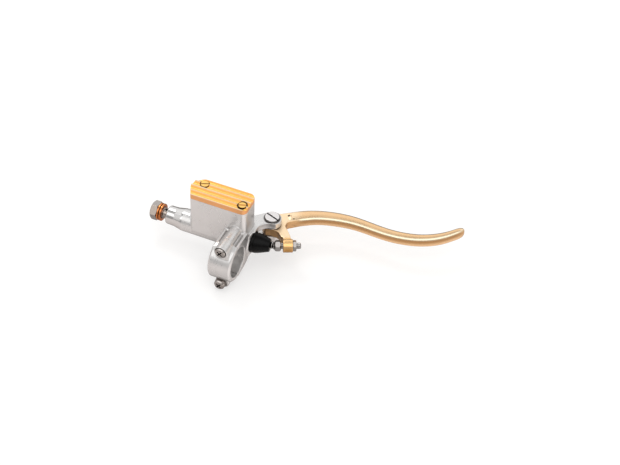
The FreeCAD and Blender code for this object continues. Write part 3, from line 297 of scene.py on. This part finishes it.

# Rows of marks: centre, axis, inner and outer radius, edge softness, span, tone, amount.
# side, mid and top tones below are painted light and shade by the way a face turns
METALS = {
    "cast_aluminium": dict(
        side=(0.76, 0.735, 0.725), top=(0.70, 0.695, 0.69), rough=0.32, brush=(1, 1, 0.4),
        bump=0.010, bevel=0.25, corner_shade=0.7, corner_shade_tint=(0.2, 0.17, 0.15), ao_dist=4.0, pits=0.15,
        patch=0.05, metallic=0.78, polish=(-49.6, 0.12), rim=0.45,
        marks=[
            # painted shade inside the handlebar bore
            ((0, 0, 0), "x", 0, 13.0, 0.15, None, (0.42, 0.41, 0.40), 0.55),
            # painted contact shadow in a ring around the pivot screw head
            (LEVER_PIVOT, "z", 6.2, 6.95, 0.25, (10.1, 14.0), (0.12, 0.11, 0.105), 0.8),
            # painted shade in the recesses round the clamp screw heads
            (UPPER_SCREW, "y", 0, 5.0, 0.2, (-12.0, -5.0), (0.12, 0.11, 0.10), 0.8),
            (LOWER_SCREW, "y", 0, 5.6, 0.2, (-30.0, -10.8), (0.14, 0.125, 0.115), 0.7)]),
    "brass_cover": dict(
        side=(0.86, 0.40, 0.16), top=(0.97, 0.59, 0.14), rough=0.33, brush=(0.12, 4, 4),
        bump=0.003, bevel=0.1, corner_shade=0.3, corner_shade_tint=(0.45, 0.28, 0.15), wear=0.0, patch=0.05,
        metallic=0.62, slope=(0.93, 0.43, 0.095), brush_amount=0.02,
        # painted highlight along the ridge crests
        crest=(39.45, 40.3, (1.0, 0.79, 0.50)),
        marks=[
            # painted shade in the counterbore round the right screw head
            (RIGHT_SCREW, "z", 3.1, 4.35, 0.12, (30.0, 39.75), HOLE_SHADE, 0.96),
            # painted shade over the left screw's counterbore and head
            (LEFT_SCREW, "z", 3.2, 4.2, 0.1, (30.0, 39.25), (0.30, 0.14, 0.04), 0.7),
            (LEFT_SCREW, "z", 0, 3.2, 0.1, (30.0, 39.0), HOLE_SHADE, 0.8)]),
    "brass_lever": dict(
        side=(0.66, 0.395, 0.195), top=(1.0, 0.77, 0.51), rough=0.31, brush=(0.3, 3, 3),
        bump=0.012, bevel=0.4, corner_shade=0.8, corner_shade_tint=(0.22, 0.13, 0.07), ao_dist=6.0, patch=0.04,
        metallic=0.92, mid=(0.95, 0.65, 0.35), rim=0.6, local=True,
        # painted light and shade across the bar: crown, glint, dark band, pale underside, dark
        # back
        bar=dict(centre=(94.0, 92.0, 0), reach=66.0, crown=(0.90, 0.60, 0.33),
                 glint=(1.0, 0.86, 0.63), band=(0.44, 0.235, 0.10), low=(0.84, 0.55, 0.31),
                 back=(0.10, 0.05, 0.02)),
        marks=[
            # painted light on top of the lever boss
            (LEVER_BOSS, "z", 0, 5.6, 1.0, (1.6, 12.0, 1.8), (0.92, 0.56, 0.22), 0.8),
            # painted shade under the lever boss
            (LEVER_BOSS, "z", 0, 6.4, 1.0, (-12.0, 2.2, 2.0), (0.36, 0.18, 0.045), 0.85),
            # painted shade on the lever's notch, where the body's ears shadow it
            ((22.0, 36.0, 0), "z", 0, 11.0, 1.0, (-7.0, 3.6), (0.30, 0.18, 0.085), 0.8),
            # painted shadow spots at the step where the blade starts
            ((26.0, 62.4, 0), "z", 0, 1.0, 0.3, (2.0, 9.0), (0.04, 0.02, 0.01), 1.0),
            ((27.8, 62.6, 0), "z", 0, 0.6, 0.3, (2.0, 9.0), (0.30, 0.17, 0.08), 0.8),
            ((31.1, 60.6, 0), "z", 0, 0.65, 0.25, (2.0, 9.0), (0.20, 0.10, 0.04), 0.95)]),
    "stainless": dict(
        side=(0.44, 0.41, 0.39), top=(0.76, 0.74, 0.74), rough=0.20, corner_shade=0.95,
        corner_shade_tint=(0.06, 0.05, 0.045), ao_dist=1.8, bevel=0.18, rim=0.7,
        marks=[
            (UPPER_SCREW, "y", 0, 5.4, 0.2, (-24.0, -9.0), (0.40, 0.36, 0.335), 0.75),
            (LOWER_SCREW, "y", 0, 5.4, 0.2, (-24.0, -9.0), (0.40, 0.36, 0.335), 0.75),
            # painted shade: a dark ring on the pivot head's chamfer
            (LEVER_PIVOT, "z", 5.75, 6.9, 0.15, (10.8, 14.0), (0.07, 0.065, 0.06), 0.9),
            # painted black shade deep in the pivot screw's slot
            (LEVER_PIVOT, "z", 0, 5.9, 0.1, (9.0, 11.75), (0.02, 0.02, 0.02), 0.95),
            # painted black shade in the recesses at the centre of the clamp screw heads
            (UPPER_SCREW, "y", 0, 2.75, 0.1, (-13.2, -10.9), (0.015, 0.012, 0.01), 0.95),
            (LOWER_SCREW, "y", 0, 2.75, 0.1, (-15.2, -12.9), (0.015, 0.012, 0.01), 0.95)]),
    "chrome": dict(
        side=(0.26, 0.25, 0.245), top=(0.72, 0.70, 0.69), rough=0.08, bump=0.01, patch=0.02,
        corner_shade=0.95, corner_shade_tint=(0.06, 0.05, 0.05), ao_dist=2.4, bevel=0.25, brush_amount=0.03,
        rim=0.95, mid=(0.33, 0.31, 0.30)),
    "copper": dict(
        side=(0.66, 0.205, 0.06), top=(0.84, 0.31, 0.10), rough=0.25, corner_shade=0.8,
        corner_shade_tint=(0.2, 0.12, 0.08), ao_dist=1.8, rim=0.4),
    "plated_bolt": dict(
        side=(0.33, 0.295, 0.275), top=(0.44, 0.41, 0.39), rough=0.24, corner_shade=0.9,
        corner_shade_tint=(0.1, 0.08, 0.07), ao_dist=1.8, bevel=0.2, rim=0.6, mid=(0.50, 0.43, 0.38),
        bump=0.02),
    "bronze": dict(side=(0.48, 0.30, 0.14), top=(0.55, 0.36, 0.18), rough=0.36),
    "piston_alloy": dict(side=(0.55, 0.52, 0.42), top=(0.60, 0.57, 0.48), rough=0.32),
    "spring_steel": dict(side=(0.36, 0.36, 0.37), top=(0.42, 0.42, 0.43), rough=0.28),
}
RUBBERS = {
    "boot_rubber": dict(colour=(0.0015, 0.0015, 0.0016), rough=0.30, specular=0.13),
    "seal_rubber": dict(colour=(0.012, 0.012, 0.013), rough=0.5, specular=0.4),
}
MATERIALS = {name: metal(name, **look) for name, look in METALS.items()}
MATERIALS.update({name: rubber(name, **look) for name, look in RUBBERS.items()})

for subpart in frame["record"]["subparts"]:
    is_bolt = subpart["node"] == "banjo_bolt"
    slots = nodes[subpart["node"]].data.materials
    slots.clear()
    slots.append(MATERIALS["plated_bolt" if is_bolt else subpart["material_slot"]])


def soften(name, voxel, passes):
    """Rounds the corners and blends of a casting."""
    modifiers = nodes[name].modifiers
    skin = modifiers.new("even_skin", "REMESH")
    skin.mode = "VOXEL"
    skin.voxel_size = voxel * MM
    skin.use_smooth_shade = True
    blends = modifiers.new("soft_blends", "SMOOTH")
    blends.factor = 0.5
    blends.iterations = passes


soften("master_cylinder_body", voxel=0.42, passes=6)
soften("clamp_cap", voxel=0.38, passes=6)
soften("brake_lever", voxel=0.42, passes=4)


# ------------------------------------------------------------------ mesh helpers
def circle(centre, first, second, radius, count):
    """Points in metres on a circle in the plane of two unit vectors."""
    angles = [TAU * k / count for k in range(count)]
    return [(centre + first * (radius * math.cos(a)) + second * (radius * math.sin(a))) * MM
            for a in angles]


def rings_mesh(name, rings, material, closed=False, smooth=True):
    """Joins each ring of points to the next; closed joins the last to the first."""
    count, total = len(rings[0]), len(rings)
    faces = []
    for i in range(total if closed else total - 1):
        j = (i + 1) % total
        for k in range(count):
            k2 = (k + 1) % count
            faces.append((i * count + k, i * count + k2, j * count + k2, j * count + k))
    if not closed:
        faces.append(tuple(range(count - 1, -1, -1)))
        faces.append(tuple(range((total - 1) * count, total * count)))
    mesh = bpy.data.meshes.new(name)
    mesh.from_pydata([tuple(point) for ring in rings for point in ring], [], faces)
    mesh.update()
    bm = bmesh.new()
    bm.from_mesh(mesh)
    bmesh.ops.recalc_face_normals(bm, faces=bm.faces)
    bm.to_mesh(mesh)
    bm.free()
    for polygon in mesh.polygons:
        polygon.use_smooth = smooth
    obj = bpy.data.objects.new(name, mesh)
    bpy.context.scene.collection.objects.link(obj)
    mesh.materials.append(material)
    return obj


def subdivide(obj, levels):
    """Subdivides the mesh for good, leaving no modifier."""
    modifier = obj.modifiers.new("sub", "SUBSURF")
    modifier.levels = modifier.render_levels = levels
    depsgraph = bpy.context.evaluated_depsgraph_get()
    mesh = bpy.data.meshes.new_from_object(obj.evaluated_get(depsgraph))
    obj.modifiers.clear()
    old = obj.data
    obj.data = mesh
    bpy.data.meshes.remove(old)


# ------------------------------------------------------------------ rubber boot
MOUTH_X = 10.62
NECK_X, NECK_Y = 24.9, 28.35
NECK_LEAN = math.radians(12.0)
ROD_X, BALL_X, BALL_Y = 1.0, 28.584, 29.617  # the push rod starts on the barrel axis
LIP_X = 24.6
LIP_Y = BARREL_Y + (LIP_X - ROD_X) * (BALL_Y - BARREL_Y) / (BALL_X - ROD_X)

# (share of the way from mouth to neck, radius)
BOOT_OUTSIDE = [
    (0.0, 8.25), (0.006, 8.52), (0.03, 8.62), (0.09, 8.60), (0.118, 8.52), (0.128, 8.28),
    (0.150, 8.24), (0.172, 8.30), (0.185, 8.46), (0.22, 8.46), (0.30, 8.26), (0.40, 7.92),
    (0.50, 7.52), (0.60, 7.06), (0.70, 6.58), (0.80, 6.10), (0.88, 5.72), (0.93, 5.50),
    (0.965, 5.36), (0.985, 5.16), (1.0, 4.80)]
BOOT_INSIDE = [
    (0.84, 4.2), (0.70, 5.1), (0.55, 5.9), (0.4, 6.5), (0.25, 6.9), (0.12, 7.1), (0.0, 7.2)]
# (share of the way from neck to the lip about the rod, radius, shift along x)
BOOT_LIP = [
    (0.2, 4.2, 0.02), (0.5, 3.3, -0.10), (0.75, 2.75, 0.05), (0.9, 2.45, 0.22),
    (1.0, 2.15, 0.15), (1.0, 1.95, -0.15), (1.0, 1.9, -0.7), (1.0, 2.2, -1.3)]


def boot_ring(x, y, lean, radius):
    across = Vector((-math.sin(lean), math.cos(lean), 0))
    return circle(Vector((x, y, 0)), across, Vector((0, 0, 1)), radius, count=72)


def boot_wall(stations):
    return [boot_ring(MOUTH_X + (NECK_X - MOUTH_X) * share,
                      BARREL_Y + (NECK_Y - BARREL_Y) * share ** 1.15,
                      NECK_LEAN * share, radius)
            for share, radius in stations]


lip = [boot_ring(NECK_X + (LIP_X - NECK_X) * share + shift, NECK_Y + (LIP_Y - NECK_Y) * share,
                 NECK_LEAN * 0.8, radius)
       for share, radius, shift in BOOT_LIP]
boot = rings_mesh("dust_boot_rubber", boot_wall(BOOT_OUTSIDE) + lip + boot_wall(BOOT_INSIDE),
                  MATERIALS["boot_rubber"], closed=True)
subdivide(boot, levels=1)
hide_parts("dust_boot")
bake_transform(boot)

# ------------------------------------------------------------------ return spring
WIRE_RADIUS, COIL_RADIUS, TURNS = 0.55, 5.2, 7.0
SPRING_GAP = 0.1
SPRING_START = -55.0 + WIRE_RADIUS + SPRING_GAP
SPRING_END = -27.4 - WIRE_RADIUS - SPRING_GAP
CLOSED_TURNS = 0.75  # flat turns at each end
STEPS = int(TURNS * 36)


def spring_ring(share):
    angle = share * TURNS * 2 * math.pi
    rise = (share * TURNS - CLOSED_TURNS) / (TURNS - 2 * CLOSED_TURNS)
    x = SPRING_START + (SPRING_END - SPRING_START) * min(1.0, max(0.0, rise))
    centre = Vector((x, BARREL_Y + COIL_RADIUS * math.cos(angle), COIL_RADIUS * math.sin(angle)))
    outward = Vector((0, math.cos(angle), math.sin(angle)))
    return circle(centre, outward, Vector((1, 0, 0)), WIRE_RADIUS, count=12)


spring = rings_mesh("return_spring_coil", [spring_ring(i / STEPS) for i in range(STEPS + 1)],
                    MATERIALS["spring_steel"])
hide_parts("return_spring")
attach(spring, "housing")
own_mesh(spring)


# ------------------------------------------------------------------ threads
def thread(name, body, start, direction, length, radius, pitch, depth):
    """Helical ridge of a screw thread standing on a plain shank, fading out at both ends."""
    axis = Vector(direction).normalized()
    first = axis.cross(Vector((0, 0, 1)))
    if first.length < 0.1:
        first = Vector((1, 0, 0))
    first.normalize()
    second = axis.cross(first)
    start = Vector(start)
    turns = length / pitch
    total = int(turns * 36)
    rings = []
    for i in range(total + 1):
        share = i / total
        angle = 2 * math.pi * turns * share
        fade = min(1.0, share * turns / 0.6, (1 - share) * turns / 0.6)
        outward = first * math.cos(angle) + second * math.sin(angle)
        centre = start + axis * (length * share)
        root = radius - 0.12
        top = radius + depth * (0.15 + 0.85 * fade)
        # (radius, offset along the axis in pitches)
        profile = [(root, -0.42), (top, -0.08), (top, 0.08), (root, 0.42)]
        rings.append([(centre + outward * r + axis * (pitch * offset)) * MM
                      for r, offset in profile])
    ridge = rings_mesh(name, rings, MATERIALS["stainless"], smooth=False)
    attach(ridge, body)


thread("adjuster_thread", "lever", start=Vector((34.0, 32.2, 0)) + RIGHT * 10.95,
       direction=RIGHT, length=2.6, radius=2.40, pitch=0.8, depth=0.22)
thread("pivot_screw_thread", "housing", start=(*LEVER_PIVOT[:2], -14.0),
       direction=(0, 0, 1), length=3.4, radius=2.9, pitch=0.8, depth=0.22)
thread("banjo_thread", "housing", start=(-66.0, BARREL_Y, 0),
       direction=(1, 0, 0), length=2.2, radius=4.85, pitch=1.0, depth=0.17)


# ------------------------------------------------------------------ stage, in metres
def floor_material():
    """Pale floor: one tone for the camera, one for diffuse light, bands for reflections."""
    material, graph, shader = new_material("floor_pale")
    ramp, mix = graph.ramp, graph.mix
    rays = graph.node("LightPath").outputs
    coords = graph.node("TexCoord").outputs["Object"]
    far = ramp(graph.dot(coords, AWAY), over=(0.01, 0.16))
    across = graph.dot(coords, RIGHT)
    band = mix(ramp(across, over=(-0.045, -0.018)), (0.74, 0.705, 0.69), (0.61, 0.585, 0.575))
    band = mix(ramp(across, over=(-0.002, 0.016)), band, (1.0, 0.97, 0.95))
    reflected = mix(far, band, (0.37, 0.345, 0.335))
    colour = mix(rays["Is Glossy Ray"], (0.97, 0.965, 0.96), reflected)
    graph.fit(shader, {
        "Base Color": mix(rays["Is Camera Ray"], colour, (0.52, 0.517, 0.513)),
        "Emission Color": (1.0, 1.0, 1.0),
        "Emission Strength": graph.calc("MULTIPLY", rays["Is Camera Ray"], 0.50),
        "Roughness": 0.9,
        "Specular IOR Level": 0.0})
    return material


bpy.ops.mesh.primitive_plane_add(size=6.0, location=(0, 0, -0.0235))
floor = bpy.context.object
floor.name = "floor"
floor.data.materials.append(floor_material())


def add_camera():
    up = Vector((-math.sin(TURN) * math.sin(TILT), math.cos(TURN) * math.sin(TILT),
                 math.cos(TILT)))
    back = RIGHT.cross(up)
    data = bpy.data.cameras.new("camera")
    camera = bpy.data.objects.new("camera", data)
    bpy.context.scene.collection.objects.link(camera)
    matrix = Matrix((RIGHT, up, back)).transposed().to_4x4()
    matrix.translation = back * 1.0
    camera.matrix_world = matrix
    data.sensor_width = 36.0
    data.lens = 73.74193548
    data.shift_x = 0.134112903
    data.shift_y = 0.042177419
    data.clip_start = 0.05
    bpy.context.scene.camera = camera


# Azimuth, elevation, half width, half height, strength, edge softness; all but strength in
# degrees. Azimuth 0 is the way the camera looks, 90 its right.
PANELS = [
    (0, 28, 75, 22, 0.62, 4),    # behind the object
    (180, 54, 75, 25, 1.0, 4),   # on the camera's side, high up
    (-95, 30, 22, 24, 0.40, 8),  # left
    (110, 26, 22, 20, 0.25, 8),  # right
    (0, 0, 85, 6, -0.26, 3),     # dark line low behind
]


def studio(low, high, diffuse):
    """A light tent with soft panels, its base tone rising from low to high.
    Only glossy rays see it; others see the even level diffuse."""
    world = bpy.data.worlds.new("studio")
    bpy.context.scene.world = world
    world.use_nodes = True
    graph = Graph(world.node_tree)
    ramp, calc = graph.ramp, graph.calc
    coords = graph.node("TexCoord").outputs["Generated"]
    degrees = 180 / math.pi
    heading = calc("ARCTAN2", graph.dot(coords, RIGHT), graph.dot(coords, AWAY))
    azimuth = calc("MULTIPLY", heading, degrees)
    elevation = calc("MULTIPLY", calc("ARCSINE", graph.dot(coords, (0, 0, 1))), degrees)
    total = ramp(elevation, over=(-10, 60), to=(low, high))
    for panel_az, panel_el, half_w, half_h, strength, soft in PANELS:
        # wrapped, so a panel may cross 180 degrees
        turned = calc("ADD", calc("SUBTRACT", azimuth, panel_az), 540.0)
        aside = calc("ABSOLUTE", calc("SUBTRACT", calc("MODULO", turned, 360.0), 180.0))
        above = calc("ABSOLUTE", calc("SUBTRACT", elevation, panel_el))
        mask = calc("MULTIPLY", ramp(aside, over=(half_w - soft, half_w + soft), to=(1, 0)),
                    ramp(above, over=(half_h - soft, half_h + soft), to=(1, 0)))
        total = calc("ADD", total, calc("MULTIPLY", mask, strength))
    total = calc("MAXIMUM", total, 0.02)
    glossy = graph.node("LightPath").outputs["Is Glossy Ray"]
    graph.fit(world.node_tree.nodes["Background"], {
        "Strength": graph.mix(glossy, diffuse, total, data_type="FLOAT"),
        "Color": (1.0, 0.99, 0.98)})


def area(name, location, size, power):
    """Square area light aimed at the middle of the object."""
    data = bpy.data.lights.new(name, "AREA")
    data.shape = "RECTANGLE"
    data.size = data.size_y = size
    data.energy = power
    light = bpy.data.objects.new(name, data)
    bpy.context.scene.collection.objects.link(light)
    light.location = location
    aim = Vector((0.02, 0.03, 0)) - Vector(location)
    light.rotation_euler = aim.to_track_quat("-Z", "Y").to_euler()
    return light


add_camera()
studio(low=0.36, high=0.56, diffuse=0.92)
area("key", location=(-0.45, 0.35, 0.85), size=0.25, power=1.2)
fill = area("fill", location=(0.30, -0.45, 0.95), size=0.9, power=2.0)
fill.visible_glossy = False
bpy.context.scene.view_settings.view_transform = "Standard"
